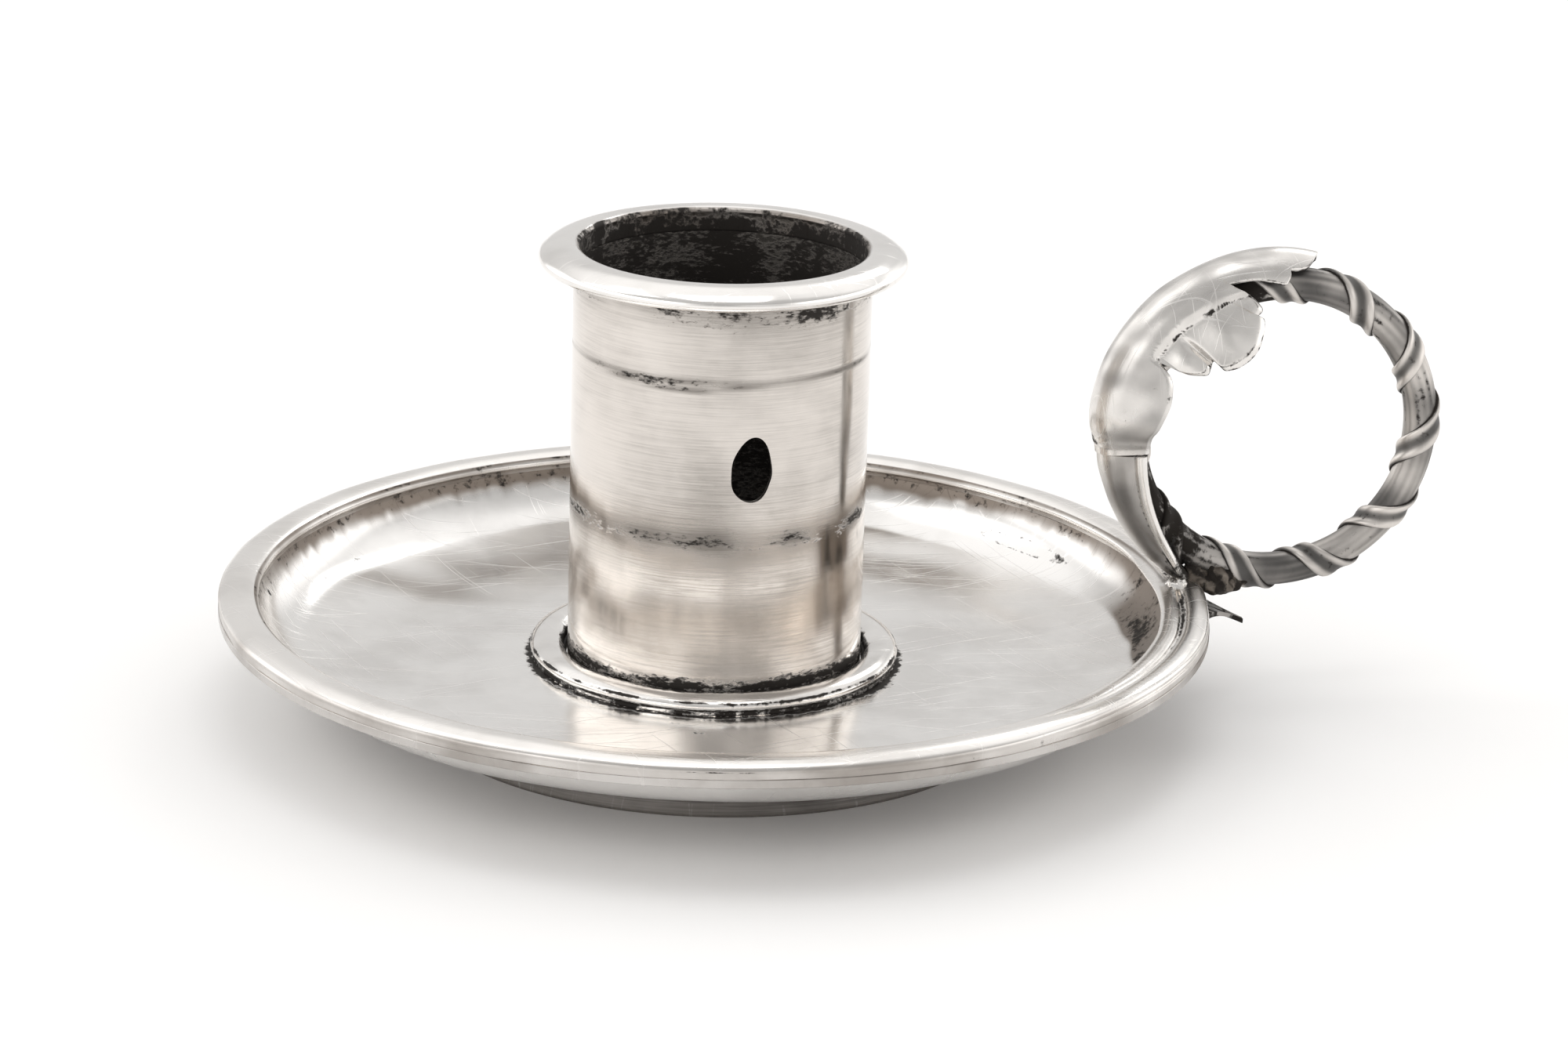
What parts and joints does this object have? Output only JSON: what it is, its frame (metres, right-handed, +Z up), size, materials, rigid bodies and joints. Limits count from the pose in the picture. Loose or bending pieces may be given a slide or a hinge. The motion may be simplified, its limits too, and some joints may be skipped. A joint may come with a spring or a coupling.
{
  "type": "chamberstick with finger loop",
  "caption": "Low silver candle holder: dished drip pan on a ring foot, plain candle socket with rolled lip and collar, and a wrapped finger ring with a lobed thumb leaf soldered to the rim.",
  "frame": {"origin": "centre of the foot ring's standing edge, on the candle socket's axis", "axes": "+Z up along the candle socket, +X from the socket towards the finger ring, +Y to the left seen from the handle's end"},
  "size_m": [0.1055, 0.0844, 0.0413],
  "materials": {
    "polished_silver": "old polished silver with fine scratches and dark grime in the corners",
    "brushed_silver": "satin silver with soft rub marks",
    "oxidised_silver": "grey oxidised silver, bright on its ridges and dark in its recesses",
    "blackened_solder": "lumpy blackened solder"
  },
  "bodies": {
    "root": {"drip_pan": "polished_silver", "rim_moulding": "polished_silver", "foot_ring": "brushed_silver", "socket_tube": "polished_silver", "socket_lip": "polished_silver", "socket_collar": "polished_silver", "finger_ring": "oxidised_silver", "ring_wrap": "oxidised_silver", "thumb_leaf": "brushed_silver", "leaf_stem": "brushed_silver", "joint_solder": "blackened_solder", "joint_bead": "blackened_solder", "rim_tab": "oxidised_silver"}
  },
  "joints": []
}
